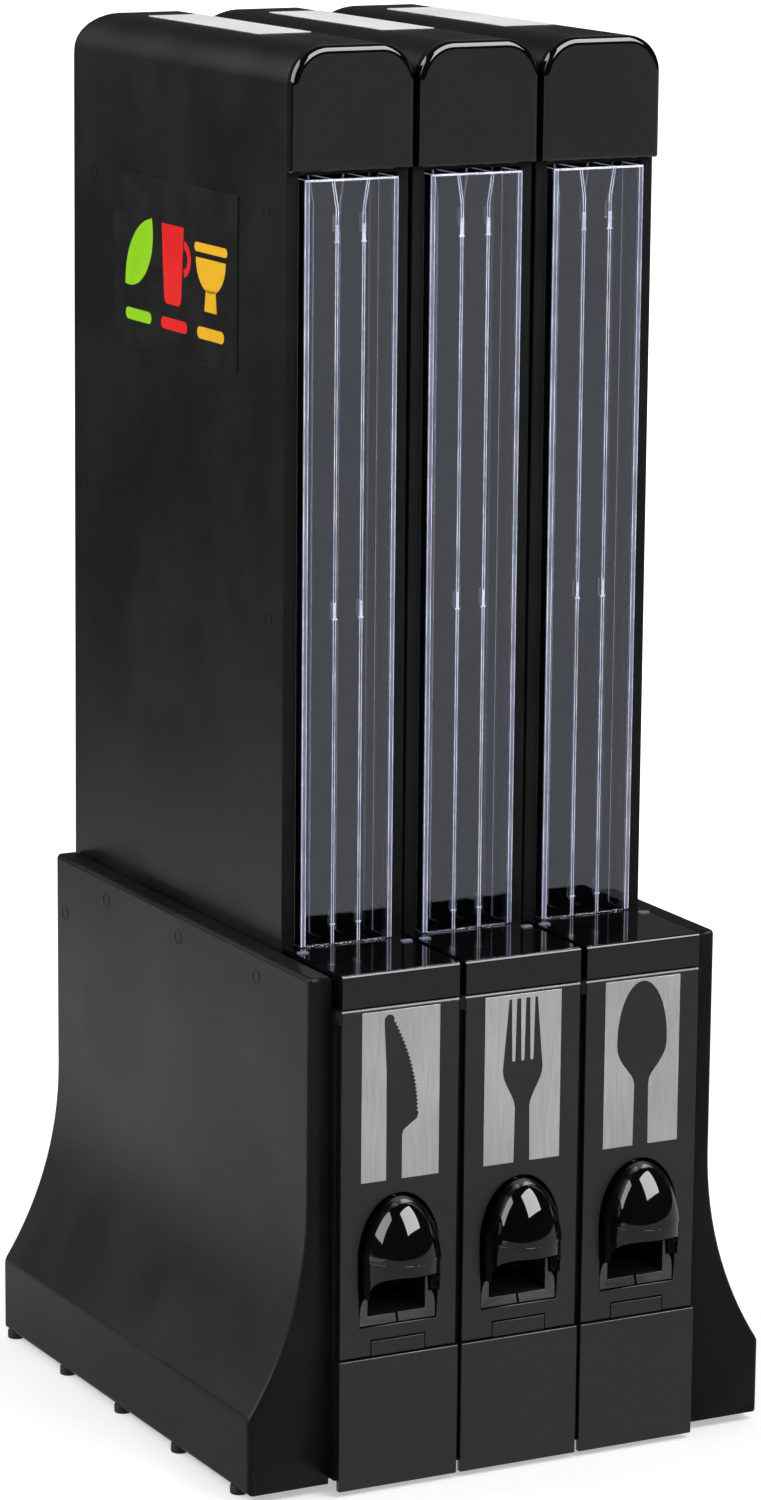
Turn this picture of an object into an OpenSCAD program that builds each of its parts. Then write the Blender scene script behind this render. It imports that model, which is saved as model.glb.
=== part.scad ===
// Triple cutlery dispenser: three single dispensers stand side by side between two flared cheeks.
// +X right, +Y back, +Z up; the origin is on the floor under the middle of the width and depth.
// All sizes are in millimetres.

/* [Modules] */
// Centre distance of two neighbouring dispensers
pitch = 59; // [56:0.5:64]
// Outer face of the front doors, measured forwards from the origin
door_face = 123; // [121:0.5:126]
// Height of the top of the glossy module covers
cover_top = 230; // [225:1:240]
// Height of the seam between module cover and front door
door_top = 215.6; // [212:0.2:218]
// Height of the seam between front door and lower skirt
door_foot = 61.3; // [60.5:0.1:63]
// Gap between two rows of panels at a seam
seam = 0.7; // [0.4:0.1:1]
// Gap between the panels of neighbouring modules
panel_gap = 3.2; // [2.6:0.1:4]
// Wall of the moulded housings and covers
wall = 2.4; // [2:0.1:2.6]
// Thickness of door and skirt panels
panel_t = 2.8; // [2.4:0.1:3]
// Front edge rounding of the module cover
cover_r = 1.4; // [1:0.2:6]

/* [Towers] */
// Height of the tower top
tower_top = 611.5; // [580:0.5:630]
// Tower front face, measured forwards from the origin
tower_face = 68.5; // [66:0.5:70]
// Tower rear face, measured back from the origin
tower_rear = 143; // [142:0.5:150]
// Clearance between the feet of neighbouring towers
tower_gap = 0.6; // [0.4:0.1:1.2]
// How much a tower side leans in from foot to top
tower_draft = 0.7; // [0.2:0.1:1.2]
// Rounding of the long top edges
shoulder_r = 16; // [10:1:18]
// Rounding of the rear top edge
rear_r = 20; // [12:1:24]
// Wall of the tower shells
tower_wall = 2.4; // [2:0.1:2.6]
// Width of the shell strip on each side of the window opening
window_strip = 5.6; // [5:0.1:6.5]

/* [Refill caps] */
// Height of the refill cap
cap_h = 51.9; // [50:0.1:56]
// Depth of the cap in front of the tower face
cap_depth = 6; // [5:0.5:8]
// Wall of the cap
cap_wall = 2.2; // [1.8:0.1:2.4]
// Rounding of the cap's front edge
cap_edge = 2.8; // [1:0.1:3]
// Length of the tongue that the cap pushes into the tower mouth
tongue_l = 10; // [6:0.5:14]

/* [Sight windows] */
// Outer width of the clear window
window_w = 43.6; // [40:0.2:44]
// How far the window stands in front of the tower face
window_proud = 4; // [3:0.5:5]
// Depth of the clear window
window_d = 24; // [18:1:26]
// Clear wall
clear_t = 2; // [1.4:0.1:2.2]
// Gap between cap and window top
window_top_gap = 3.2; // [2:0.2:5]
// Half distance of the two guide ribs
rib_x = 6.3; // [5.5:0.1:8]
// Thickness of a guide rib
rib_t = 1.2; // [0.9:0.1:1.5]
// How far the ribs lean out at the top
rib_flare = 2; // [1:0.1:3]
// Height of the flared part of the ribs
flare_h = 12.5; // [8:0.5:18]

/* [Cheeks] */
// Height of the top of the cheeks
cheek_top = 228.8; // [222:0.2:236]
// Half width over the cheeks at the top
cheek_top_x = 99; // [96:0.5:101]
// Half width over the cheeks at the floor
cheek_foot_x = 126.8; // [122:0.2:132]
// Height of the upper edge of the straight foot band
kink_h = 37.6; // [32:0.2:44]
// Height at which the concave flare starts
flare_start = 128.6; // [120:0.2:140]
// Front face of the cheeks, measured forwards from the origin
cheek_face = 116; // [112:0.5:118]
// Rear face of the cheeks, measured back from the origin
cheek_rear = 141; // [138:0.5:142]
// Cheek wall
cheek_wall = 3; // [2.4:0.1:3.6]
// Height of the cheeks' lower edge above the floor
cheek_lift = 4; // [3:0.2:5]

/* [Feet] */
// Radius of a rubber foot
foot_r = 3.9; // [3:0.1:4]
// Number of feet under a cheek
foot_count = 5; // [3:1:5]
// Radius of the foot stem
stem_r = 1.9; // [1.4:0.1:2.2]

/* [Push lever] */
// Radius of the dome
dome_r = 18; // [16:0.2:18.2]
// Height of the dome above its rim
dome_h = 26.5; // [22:0.5:28]
// Height of the dome rim
rim_z = 105; // [103:0.5:107]
// How far the dome axis lies in front of the door face
dome_proud = 0.5; // [0:0.5:3]
// Wall of the dome
dome_t = 2.2; // [1.6:0.1:2.4]
// Height of the lever's pivot above the dome rim
pivot_rise = 29; // [28.5:0.5:30]
// Radius of the lever pin
lever_pin_r = 1.5; // [1.2:0.1:1.8]
// Distance from the pivot to the drive studs
arm_l = 46; // [44:0.5:46.5]
// Radius of the drive studs
stud_r = 1.8; // [1.4:0.1:1.9]
// Largest angle that the lever is pressed through, in degrees
press_angle = 12; // [8:1:12]

/* [Outlet] */
// Height of the deck that the cutlery slides over
deck_top = 76; // [75:0.2:76.4]
// Half width of the outlet
outlet_x = 13.9; // [12:0.1:14.5]
// Height of the outlet's side walls above the deck
outlet_h = 16.5; // [15:0.5:18]
// Thickness of the chute floor
chute_t = 2.5; // [2:0.1:2.8]
// Thickness of a slide rail
rail_t = 1.7; // [1.4:0.1:1.9]

/* [Labels] */
// Width of a door label
label_w = 37.2; // [34:0.2:40]
// Height of a door label
label_h = 74.4; // [70:0.2:75]
// Thickness of a door label
label_t = 0.2; // [0.1:0.1:0.2]
// Thickness of the patch and the pale strips
film_t = 0.4; // [0.2:0.1:0.6]
// Length of the patch on the left tower's side
patch_l = 123; // [90:1:140]
// Height of the patch
patch_h = 75; // [50:1:90]
// Length of the pale strip on each tower top
strip_l = 108; // [80:1:120]

/* [Hidden] */
$fn = 64;
KINDS = ["knife", "fork", "spoon"];

// Fits
run = 0.06;             // radial running clearance of a pin in a moving bore
hold = 0.02;            // radial clearance of a pin in its fixed bore
fit = 0.3;              // clearance between pieces that pass each other
slack = 0.2;            // clearance between fixed pieces that are set side by side

// Module housing
half = pitch / 2;
panel_x = half - panel_gap / 2;
side_in = half - wall - 0.1;
front_y = -door_face;
panel_back = front_y + panel_t;
housing_front = panel_back + 0.8;
housing_rear = tower_rear - 1;
floor_z = cheek_lift + 3;
plate_t = floor_z - cheek_lift - 0.4;
skirt_top = door_foot - seam;
skirt_foot = 2.4;
skirt_proud = 1.3;
skirt_back = front_y - skirt_proud + panel_t;
housing_top = door_top - 0.6;
lip_y = front_y + 11.5;             // front of the latch keeper

// Door hinge
hinge_r = 2.1;
hinge_pin_r = 1;
hinge_y = front_y + hinge_r;
hinge_z = door_top - fit - hinge_r;
ear_t = half - panel_x - fit;

// Lever
pivot_y = front_y + 10;
pivot_z = rim_z + pivot_rise;
stud_z = pivot_z - arm_l;
dome_y = front_y - dome_proud;
dome_back = panel_back + 2.7;
band_r = dome_r - 0.4;               // outer radius of the band under the dome
band_t = 1.4;
band_foot = rim_z - 17;
band_rise = 12;                     // height of the arch in the band
leg_t = 1.8;
arm_in = 22.3;
arm_out = side_in - 1.7;
boss_r = lever_pin_r + 2;
arch_rim_x = dome_r + 1.6;          // half width of the door's opening at the dome's rim
arch_foot_x = dome_r + 0.5;
arch_foot = deck_top - 1.8;

// Slide
rail_out = arm_in - fit;
rail_in = rail_out - rail_t;
rail_h = 6;
slide_rear = 78;
bar_l = 6;
spring_r = 4;
spring_wire = 1;
spring_z = deck_top + spring_r + 0.8;

// Chute
chute_x = dome_r + 0.2;
chute_front = front_y + 0.8;
chute_throat = front_y + 1.9;
chute_rear = front_y + 25;
chute_floor = deck_top + chute_t;
wall_step = band_foot - 1.8;        // the pressed band passes over this height

// Latch
latch_x = 12.8;
latch_h = 7;
latch_y = front_y + 5;
latch_z = door_foot + 8.2;
trunnion_r = 1;
keeper_x = 8;
keeper_h = 2.6;
shelf_z = skirt_top - 0.6;          // top of the housing's front wall and of the keeper's shelf
hook_lift = 0.6;                    // the door swings the hook down a little before it clears

// Tower
cap_foot = tower_top - cap_h;
foot_x = half - tower_gap / 2;
head_x = foot_x - tower_draft;
tower_y = -tower_face;
open_x = head_x - window_strip;
window_foot = cover_top + fit;
window_head = cap_foot - window_top_gap;
window_y = tower_y - window_proud;
mouth_foot = cap_foot + 3;
cap_y = tower_y - cap_depth;

// Cheek
cheek_x = 1.5 * pitch;
flare_d = cheek_foot_x - cheek_top_x;
flare_z = flare_start - kink_h;
flare_r = (flare_z * flare_z + flare_d * flare_d) / (2 * flare_d);
ledge_x = cheek_foot_x - 13;
foot_x_pos = cheek_foot_x - foot_r - 0.1;
foot_first = -cheek_face + 17;
foot_last = cheek_rear - 5;
foot_step = (foot_last - foot_first) / (foot_count - 1);
screw_r = 1.6;
screw_yz = [[-90, 185], [110, 185], [-90, 40], [110, 40]];
bolt_r = 1.9;
base_screw_y = [-80, 100];
base_screw_l = 8;

// Colours
MATTE = [0.05, 0.05, 0.055];
GLOSS = [0.02, 0.02, 0.022];
SATIN = [0.07, 0.07, 0.075];
CLEAR = [0.75, 0.8, 0.9, 0.35];
SILVER = [0.68, 0.68, 0.66];
STEEL = [0.6, 0.6, 0.62];
PALE = [0.9, 0.9, 0.91];
RUBBER = [0.09, 0.09, 0.09];

// ---- helpers ----

// Extrudes a sketch drawn in X and Z along Y.
module along_y(y0, y1) {
    translate([0, y1, 0]) rotate([90, 0, 0]) linear_extrude(y1 - y0) children();
}

// Extrudes a sketch drawn in Y and Z along X.
module along_x(x0, x1) {
    translate([x0, 0, 0]) rotate([90, 0, 90]) linear_extrude(x1 - x0) children();
}

// A block given by its lowest and highest corners.
module block(low, high) {
    translate(low) cube(high - low);
}

// A round bar along X.
module bar_x(x0, x1, y, z, r) {
    translate([x0, y, z]) rotate([0, 90, 0]) cylinder(h = x1 - x0, r = r);
}

// Repeats its children on the left and right of a module.
module both_sides() {
    children();
    mirror([1, 0, 0]) children();
}

// Moves its children to the module of one kind of cutlery.
module at(kind) {
    translate([(search([kind], KINDS)[0] - 1) * pitch, 0, 0]) children();
}

// ---- tower ----

// Front view of a tower, drawn in by inset, from the height z0 up.
module tower_front_view(inset, z0) {
    r = shoulder_r - inset;
    x1 = head_x - inset;
    lean = tower_draft / (tower_top - shoulder_r - housing_top);
    x0 = foot_x - inset - lean * (z0 - housing_top);
    z1 = tower_top - inset;
    polygon([[-x0, z0], [x0, z0], [x1, z1 - r], [x1 - r, z1], [r - x1, z1], [-x1, z1 - r]]);
    for (s = [-1, 1]) translate([s * (x1 - r), z1 - r]) circle(r);
}

// Side view of a tower, drawn in by inset at the top and the rear.
module tower_side_view(inset, y0, z0) {
    r = rear_r - inset;
    y1 = tower_rear - inset;
    z1 = tower_top - inset;
    polygon([[y0, z0], [y1, z0], [y1 - tower_draft, z1 - r], [y1 - tower_draft - r, z1], [y0, z1]]);
    translate([y1 - tower_draft - r, z1 - r]) circle(r);
}

module tower_block(inset, y0, z0) {
    intersection() {
        along_y(y0, tower_rear) tower_front_view(inset, z0);
        along_x(-half, half) tower_side_view(inset, y0, z0);
    }
}

module tower_shell(side) {
    color(MATTE) intersection() {
        union() {
            difference() {
                tower_block(0, tower_y, housing_top);
                tower_block(tower_wall, tower_y + tower_wall, housing_top - 1);
                block([-open_x, tower_y - 1, housing_top - 1],
                    [open_x, tower_y + tower_wall + 1, window_head + 1.6]);
                intersection() {
                    along_y(tower_y - 1, tower_y + tower_wall + 1)
                        tower_front_view(window_strip, mouth_foot);
                    block([-half, tower_y - 2, mouth_foot], [half, tower_y + 10, tower_top]);
                }
            }
            // the spigot that drops into the housing
            difference() {
                block([-side_in + slack, tower_y + 8, housing_top - 6],
                    [side_in - slack, housing_rear - wall - slack, housing_top + 8]);
                block([-side_in + slack + 2, tower_y, housing_top - 7],
                    [side_in - slack - 2, housing_rear - wall - slack - 2, housing_top + 9]);
            }
        }
        if (side < 0) block([-half, tower_y - 1, 0], [0, tower_rear + 1, tower_top + 1]);
        else block([0, tower_y - 1, 0], [half, tower_rear + 1, tower_top + 1]);
    }
}

module refill_cap() {
    color(GLOSS) difference() {
        union() {
            hull() {
                along_y(cap_y + cap_edge, tower_y) tower_front_view(0, cap_foot, $fn = 48);
                // the rounded front edge, as [distance in front of that, inset]
                for (step = [[cap_edge * 0.6, cap_edge * 0.25], [cap_edge, cap_edge]])
                    along_y(cap_y + cap_edge - step[0], cap_y + cap_edge - step[0] + 0.01)
                        tower_front_view(step[1], cap_foot + step[1] / 2, $fn = 48);
            }
            // the tongue that seats in the tower mouth
            along_y(tower_y - 1, tower_y + tongue_l)
                tower_front_view(window_strip + slack, mouth_foot + slack);
        }
        along_y(cap_y + cap_wall, tower_y + tongue_l + 1)
            tower_front_view(window_strip + slack + cap_wall, mouth_foot + slack + cap_wall);
    }
}

// One guide rib of the window, which leans out at its top.
module guide_rib() {
    x0 = rib_x - rib_t / 2;
    x1 = rib_x + rib_t / 2;
    bend_z = window_head - flare_h;
    along_y(window_y + clear_t - 0.5, window_y + window_d) polygon([
        [x0, window_foot], [x1, window_foot], [x1, bend_z],
        [x1 + rib_flare, window_head], [x0 + rib_flare, window_head], [x0, bend_z]]);
}

module sight_window() {
    x = window_w / 2;
    y1 = window_y + window_d;
    flange_y = tower_y + tower_wall;
    flange_t = 1.5;
    bead_h = 7;
    bead_d = 3;
    color(CLEAR) {
        block([-x, window_y, window_foot], [x, window_y + clear_t, window_head]);
        both_sides() {
            block([x - clear_t, window_y, window_foot], [x, y1, window_head]);
            // flange that lies behind the shell's front strips
            block([x - clear_t, flange_y, window_foot + 2],
                [open_x + 2, flange_y + flange_t, window_head - 1]);
            guide_rib();
            for (share = [0.045, 0.455, 0.955]) {
                bead_z = window_foot + share * (window_head - window_foot);
                block([rib_x - rib_t, window_y + clear_t - 0.5, bead_z - bead_h],
                    [rib_x + rib_t, window_y + clear_t + bead_d, bead_z]);
            }
        }
    }
}

module top_strip() {
    x = head_x - shoulder_r;
    rear = tower_rear - rear_r - 25;
    color(PALE) block([-x, rear - strip_l, tower_top], [x, rear, tower_top + film_t]);
}

module side_patch() {
    middle_y = 37.5;
    middle_z = 508;
    color(GLOSS) intersection() {
        difference() {
            tower_block(-film_t, tower_y, housing_top);
            tower_block(0, tower_y, housing_top - 1);
        }
        translate([-half, middle_y, middle_z]) cube([8, patch_l, patch_h], center = true);
    }
}

// ---- module ----

module module_housing() {
    color(MATTE) difference() {
        union() {
            both_sides() {
                block([side_in, housing_front, floor_z], [half, housing_rear, housing_top]);
                // ear of the door hinge
                block([half - ear_t, hinge_y - hinge_pin_r - 1, hinge_z - 4],
                    [half, housing_front, housing_top]);
                // guide rib beside the slide
                block([rail_out + fit, chute_rear + 13, deck_top],
                    [rail_out + fit + 1, slide_rear + 24, deck_top + 4]);
                // rib that carries the cutlery
                block([9, chute_rear + 3, deck_top], [11, slide_rear - bar_l - 6, chute_floor]);
            }
            block([-side_in, housing_rear - wall, floor_z], [side_in, housing_rear, housing_top]);
            block([-half, housing_front, floor_z], [half, housing_rear, floor_z + wall]);
            block([-side_in, housing_front + 0.8, deck_top - wall], [side_in, housing_rear, deck_top]);
            block([-half, skirt_back, floor_z], [half, skirt_back + wall, shelf_z]);
            // keeper of the door latch
            block([-keeper_x, skirt_back, shelf_z - wall], [keeper_x, lip_y + 2, shelf_z]);
            block([-keeper_x, lip_y, shelf_z - 1], [keeper_x, lip_y + 2, shelf_z + keeper_h]);
            // seat of the return spring
            translate([0, housing_rear - wall + 0.5, spring_z]) rotate([90, 0, 0])
                cylinder(h = 8, r = spring_r - spring_wire - fit);
            for (y = base_screw_y) translate([0, y, floor_z]) cylinder(h = 7, r = 4);
        }
        bar_x(-half - 1, half + 1, pivot_y, pivot_z, lever_pin_r + hold);
        bar_x(-half - 1, half + 1, hinge_y, hinge_z, hinge_pin_r + hold);
        bar_x(-panel_x - fit, panel_x + fit, hinge_y, hinge_z, hinge_r + fit);
        for (p = screw_yz) bar_x(-half - 1, half + 1, p[0], p[1], bolt_r + 0.1);
        for (y = base_screw_y) translate([0, y, floor_z - 1]) cylinder(h = 9, r = screw_r);
    }
}

module top_cover() {
    y1 = tower_y - fit;
    tab_y = front_y + 24;
    tab_l = 16;
    color(GLOSS) {
        difference() {
            along_x(-panel_x, panel_x) union() {
                polygon([[front_y, door_top], [y1, door_top], [y1, cover_top],
                    [front_y + cover_r, cover_top], [front_y, cover_top - cover_r]]);
                translate([front_y + cover_r, cover_top - cover_r]) circle(cover_r);
            }
            block([-panel_x + wall, front_y + wall, door_top - 1],
                [panel_x - wall, y1 - wall, cover_top - wall]);
        }
        // locating tabs inside the housing walls, and pads that stand on the walls
        both_sides() {
            block([side_in - fit - 2, tab_y, housing_top - 5],
                [side_in - fit, tab_y + tab_l, cover_top - 1]);
            block([side_in, front_y + 10, housing_top], [panel_x, y1, door_top + 0.5]);
        }
    }
}

module lower_skirt() {
    x = panel_x + 0.7;
    color(SATIN) {
        block([-x, front_y - skirt_proud, skirt_foot], [x, skirt_back, skirt_top]);
    }
}

// Outline of the opening in the door for the dome and the outlet.
module dome_arch() {
    top = dome_h + 0.9;
    polygon([
        [arch_foot_x, arch_foot],
        for (i = [0:24]) [arch_rim_x * cos(7.5 * i), rim_z + top * sin(7.5 * i)],
        [-arch_foot_x, arch_foot]]);
}

module front_door() {
    ear_x = latch_x + fit + 0.5;
    color(SATIN) difference() {
        union() {
            block([-panel_x, front_y, door_foot], [panel_x, panel_back, hinge_z]);
            bar_x(-panel_x, panel_x, hinge_y, hinge_z, hinge_r);
            both_sides() {
                block([panel_x - 4, panel_back - 0.2, door_foot + 2],
                    [panel_x - 2, panel_back + 1.1, hinge_z - 5]);
                // ear that holds the latch trunnion
                block([ear_x, panel_back - 0.2, latch_z - 3.5],
                    [ear_x + 2, latch_y + 2.4, latch_z + 2.4]);
            }
        }
        along_y(front_y - 1, panel_back + 1) dome_arch();
        block([-latch_x - fit, front_y - 1, door_foot - 1],
            [latch_x + fit, panel_back + 1, door_foot + latch_h]);
        block([-latch_x - fit, panel_back, door_foot - 1],
            [latch_x + fit, panel_back + 3, latch_z + 3]);
        bar_x(-panel_x - 1, panel_x + 1, hinge_y, hinge_z, hinge_pin_r + run);
        bar_x(-ear_x - 3, ear_x + 3, latch_y, latch_z, trunnion_r + run);
    }
}

module door_latch() {
    arm_y = lip_y + 3.4;
    top = door_foot + latch_h - 0.7;
    color(SATIN) {
        block([-latch_x, front_y, door_foot - 0.1], [latch_x, panel_back - 0.6, top]);
        block([-latch_x, panel_back - 0.8, door_foot + 3], [latch_x, latch_y, top]);
        bar_x(-latch_x, latch_x, latch_y, latch_z, 2);
        block([-latch_x, latch_y - 2, door_foot + 4], [latch_x, latch_y + 1.6, latch_z]);
        bar_x(-latch_x - fit - 2.3, latch_x + fit + 2.3, latch_y, latch_z, trunnion_r);
        // the arm and hook over the keeper
        block([-6, latch_y, latch_z - 1.5], [6, arm_y, latch_z + 0.5]);
        block([-6, lip_y + 1, shelf_z + keeper_h + hook_lift], [6, arm_y, latch_z]);
    }
}

module outlet_chute() {
    y0 = chute_front;
    color(MATTE) difference() {
        union() {
            along_x(-chute_x, chute_x) polygon([
                [y0, arch_foot + 0.5], [y0, arch_foot + 1], [chute_throat, chute_floor],
                [chute_rear, chute_floor], [chute_rear, deck_top],
                [housing_front + 0.6, deck_top], [housing_front + 0.6, arch_foot + 0.5]]);
            // side walls, which narrow towards the top
            both_sides() intersection() {
                translate([0, 0, deck_top]) linear_extrude(outlet_h) polygon([
                    [chute_x - 0.8, y0], [chute_x, y0], [chute_x, chute_rear],
                    [outlet_x, chute_rear], [outlet_x, chute_throat]]);
                along_y(y0, chute_rear) polygon([
                    [outlet_x, deck_top], [chute_x, deck_top], [chute_x, deck_top + 4],
                    [chute_x - 0.5, wall_step - 2.4], [chute_x - 1.6, wall_step],
                    [outlet_x + 1.3, wall_step], [outlet_x + 1, deck_top + outlet_h],
                    [outlet_x, deck_top + outlet_h]]);
            }
        }
        block([-0.5, y0 - 1, arch_foot], [0.5, chute_throat + 2, chute_floor + 1]);
    }
}

// Section of the dome at a height t degrees up its quarter ellipse.
function dome_point(t, thin) = [(dome_r - thin) * cos(t), rim_z + (dome_h - thin) * sin(t)];

module dome(thin) {
    translate([0, dome_y, 0]) rotate_extrude() polygon([
        [0, rim_z], for (t = [0:7.5:82.5]) dome_point(t, thin), [0, rim_z + dome_h - thin]]);
}

// The band under the dome: a half round skirt with an arch in it and a leg at each end.
module lever_band() {
    high = rim_z + 0.8;
    arch_x = band_r - 0.7;
    power = 3.5;
    difference() {
        translate([0, dome_y, band_foot]) difference() {
            cylinder(h = high - band_foot, r = band_r);
            translate([0, 0, -1]) cylinder(h = high - band_foot + 2, r = band_r - band_t);
        }
        block([-half, dome_y, band_foot - 1], [half, dome_y + dome_r, high + 1]);
        along_y(dome_y - dome_r, dome_y + 1) polygon([
            [-arch_x, band_foot - 1],
            for (i = [-12:12]) let (x = sin(7.5 * i))
                [arch_x * x, band_foot + band_rise * pow(1 - pow(abs(x), power), 1 / power)],
            [arch_x, band_foot - 1]]);
    }
    both_sides() block([band_r - leg_t, dome_y - 1.5, band_foot], [band_r, dome_back - 2, high]);
}

module push_lever() {
    color(GLOSS) difference() {
        union() {
            intersection() {
                difference() {
                    dome(0);
                    translate([0, 0, -0.5]) dome(dome_t);
                }
                block([-half, dome_y - dome_r - 1, rim_z], [half, dome_back, rim_z + dome_h + 1]);
            }
            lever_band();
            // web, barrel and drive arms
            block([-12, housing_front, pivot_z - 14], [12, pivot_y, pivot_z]);
            block([-2, dome_back - 1, rim_z], [2, pivot_y, pivot_z]);
            bar_x(-side_in + fit, side_in - fit, pivot_y, pivot_z, boss_r);
            both_sides() {
                block([arm_in, pivot_y - 3, stud_z], [arm_out, pivot_y + 3, pivot_z]);
                bar_x(arm_in, arm_out, pivot_y, stud_z, 3);
                bar_x(rail_in - 0.7, arm_in + 0.1, pivot_y, stud_z, stud_r);
            }
        }
        bar_x(-half, half, pivot_y, pivot_z, lever_pin_r + run);
    }
}

module ejector_slide() {
    slot_y = stud_r + fit;
    slot_top = stud_z + arm_l * (1 - cos(press_angle)) + stud_r + fit;
    ear_y = panel_back + 2.2;
    color(SATIN) {
        both_sides() {
            difference() {
                union() {
                    block([rail_in, ear_y, deck_top], [rail_out, slide_rear, deck_top + rail_h]);
                    block([rail_in, ear_y, deck_top], [rail_out, pivot_y + 6, slot_top + 2]);
                }
                block([rail_in - 1, pivot_y - slot_y, stud_z - slot_y],
                    [rail_out + 1, pivot_y + slot_y, slot_top]);
            }
        }
        block([-rail_out, slide_rear - bar_l, deck_top], [rail_out, slide_rear, deck_top + 4]);
        block([-8, slide_rear - bar_l, deck_top], [8, slide_rear, spring_z + spring_r]);
        translate([0, slide_rear + 6, spring_z]) rotate([90, 0, 0])
            cylinder(h = 7, r = spring_r - spring_wire - fit);
    }
}

module return_spring() {
    rear = housing_rear - wall;
    color(STEEL) translate([0, rear, spring_z]) rotate([90, 0, 0]) difference() {
        cylinder(h = rear - slide_rear, r = spring_r);
        translate([0, 0, -1]) cylinder(h = rear - slide_rear + 2, r = spring_r - spring_wire);
    }
}

// ---- labels ----

// Smooth step from a to b as t runs from 0 to 1.
function blend(a, b, t) = a + (b - a) * (1 - cos(180 * min(1, max(0, t)))) / 2;

// The outlines are drawn from the label's top downwards: [x, depth below the top].
neck_x = 3.5;
fork_head = 9.7;
spoon_head = 12.4;

function spoon_side() = [
    for (t = [0:9:90]) [spoon_head * sin(t), 27.5 - 26.5 * cos(t)],
    for (s = [0.1:0.1:1]) [blend(spoon_head, neck_x, pow(s, 1.35)), 27.5 + 19.5 * s],
    [neck_x + 0.3, label_h + 1]];
function fork_side() = [
    [6.9, 2], [fork_head, 33], for (s = [0.15:0.1:1]) [blend(fork_head, neck_x, s), 33 + 18 * s],
    [neck_x + 0.4, label_h + 1]];
function mirrored(side) = [for (i = [len(side) - 1:-1:0]) [-side[i][0], side[i][1]]];

blade_top = 4;
blade_end = 46.6;
tooth = 1.75;
tooth_d = 0.95;
function blade_x(d) = 8.7 - 0.0064 * pow(47 - d, 2);

module knife_outline() {
    teeth = floor((blade_end - blade_top) / tooth);
    polygon(concat(
        [[-6.6, label_h + 1], [-6.8, 27], [-8, 5]],
        [for (t = [170:-20:30]) [-5.6 + 2.4 * cos(t), 4.2 - 2.4 * sin(t)]],
        [for (i = [0:2 * teeth], d = blade_top + i * tooth / 2) [blade_x(d) - tooth_d * (i % 2), d]],
        [[8, blade_end + 2], [1.6, blade_end + 6.4], [0.9, blade_end + 8], [0.9, label_h + 1]]));
}

module fork_outline() {
    side = fork_side();
    difference() {
        polygon(concat(side, mirrored(side)));
        for (s = [-1:1]) translate([s * 4.45, 0])
            polygon([[-1.3, 0], [1.3, 0], [0.75, 29], [0.3, 29.6], [-0.3, 29.6], [-0.75, 29]]);
    }
}

module spoon_outline() {
    side = spoon_side();
    polygon(concat(side, mirrored(side)));
}

module door_label(kind) {
    head = hinge_z - 0.2;
    color(SILVER) along_y(front_y - label_t, front_y) difference() {
        translate([-label_w / 2, head - label_h]) square([label_w, label_h]);
        translate([0, head]) mirror([0, 1]) {
            if (kind == "knife") knife_outline();
            if (kind == "fork") fork_outline();
            if (kind == "spoon") spoon_outline();
        }
    }
}

// ---- base ----

// Front view of the right cheek, drawn in by inset.
module cheek_front_view(inset, low) {
    z1 = cheek_top - inset;
    difference() {
        translate([cheek_x - inset, low]) square([cheek_foot_x - cheek_x, z1 - low]);
        translate([cheek_top_x + flare_r, flare_start]) circle(flare_r + inset, $fn = 200);
        translate([cheek_top_x - inset, flare_start]) square([cheek_foot_x, z1]);
    }
}

module cheek() {
    color(MATTE) difference() {
        union() {
            difference() {
                along_y(-cheek_face, cheek_rear) cheek_front_view(0, cheek_lift);
                along_y(-cheek_face + cheek_wall, cheek_rear - cheek_wall)
                    cheek_front_view(cheek_wall, cheek_lift - 1);
            }
            // ledge that holds the feet
            block([ledge_x, -cheek_face + 1, cheek_lift],
                [cheek_foot_x - 1, cheek_rear - 1, cheek_lift + 3]);
            for (p = screw_yz) intersection() {
                bar_x(cheek_x, cheek_foot_x, p[0], p[1], 4.5);
                along_y(-cheek_face, cheek_rear) cheek_front_view(0, cheek_lift);
            }
        }
        for (p = screw_yz) bar_x(cheek_x - 1, cheek_x + 5.5, p[0], p[1], screw_r);
        for (i = [0:foot_count - 1]) translate([foot_x_pos, foot_first + i * foot_step, cheek_lift - 1])
            cylinder(h = 6, r = stem_r + hold);
    }
}

module base_plate() {
    x = cheek_x - 0.5;
    color(MATTE) difference() {
        block([-x, front_y + 12, floor_z - plate_t], [x, housing_rear - 10, floor_z]);
        for (kind = KINDS) at(kind) for (y = base_screw_y)
            translate([0, y, 0]) cylinder(h = floor_z + 1, r = screw_r + 0.3);
    }
}

module rubber_feet() {
    color(RUBBER) both_sides() for (i = [0:foot_count - 1])
        translate([foot_x_pos, foot_first + i * foot_step, 0]) {
            cylinder(h = cheek_lift, r = foot_r);
            cylinder(h = cheek_lift + 3.6, r = stem_r);
        }
}

module door_pins() {
    color(STEEL) for (kind = KINDS) at(kind)
        bar_x(-half + 0.2, half - 0.2, hinge_y, hinge_z, hinge_pin_r);
}

module lever_pins() {
    color(STEEL) for (kind = KINDS) at(kind)
        bar_x(-half + 0.2, half - 0.2, pivot_y, pivot_z, lever_pin_r);
}

module cheek_screws() {
    inner = cheek_x - (half - side_in);
    color(STEEL) both_sides() for (p = screw_yz) {
        bar_x(inner - 2, inner, p[0], p[1], 3.4);
        bar_x(inner - 1, cheek_x + 5, p[0], p[1], screw_r - 0.05);
    }
}

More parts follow.
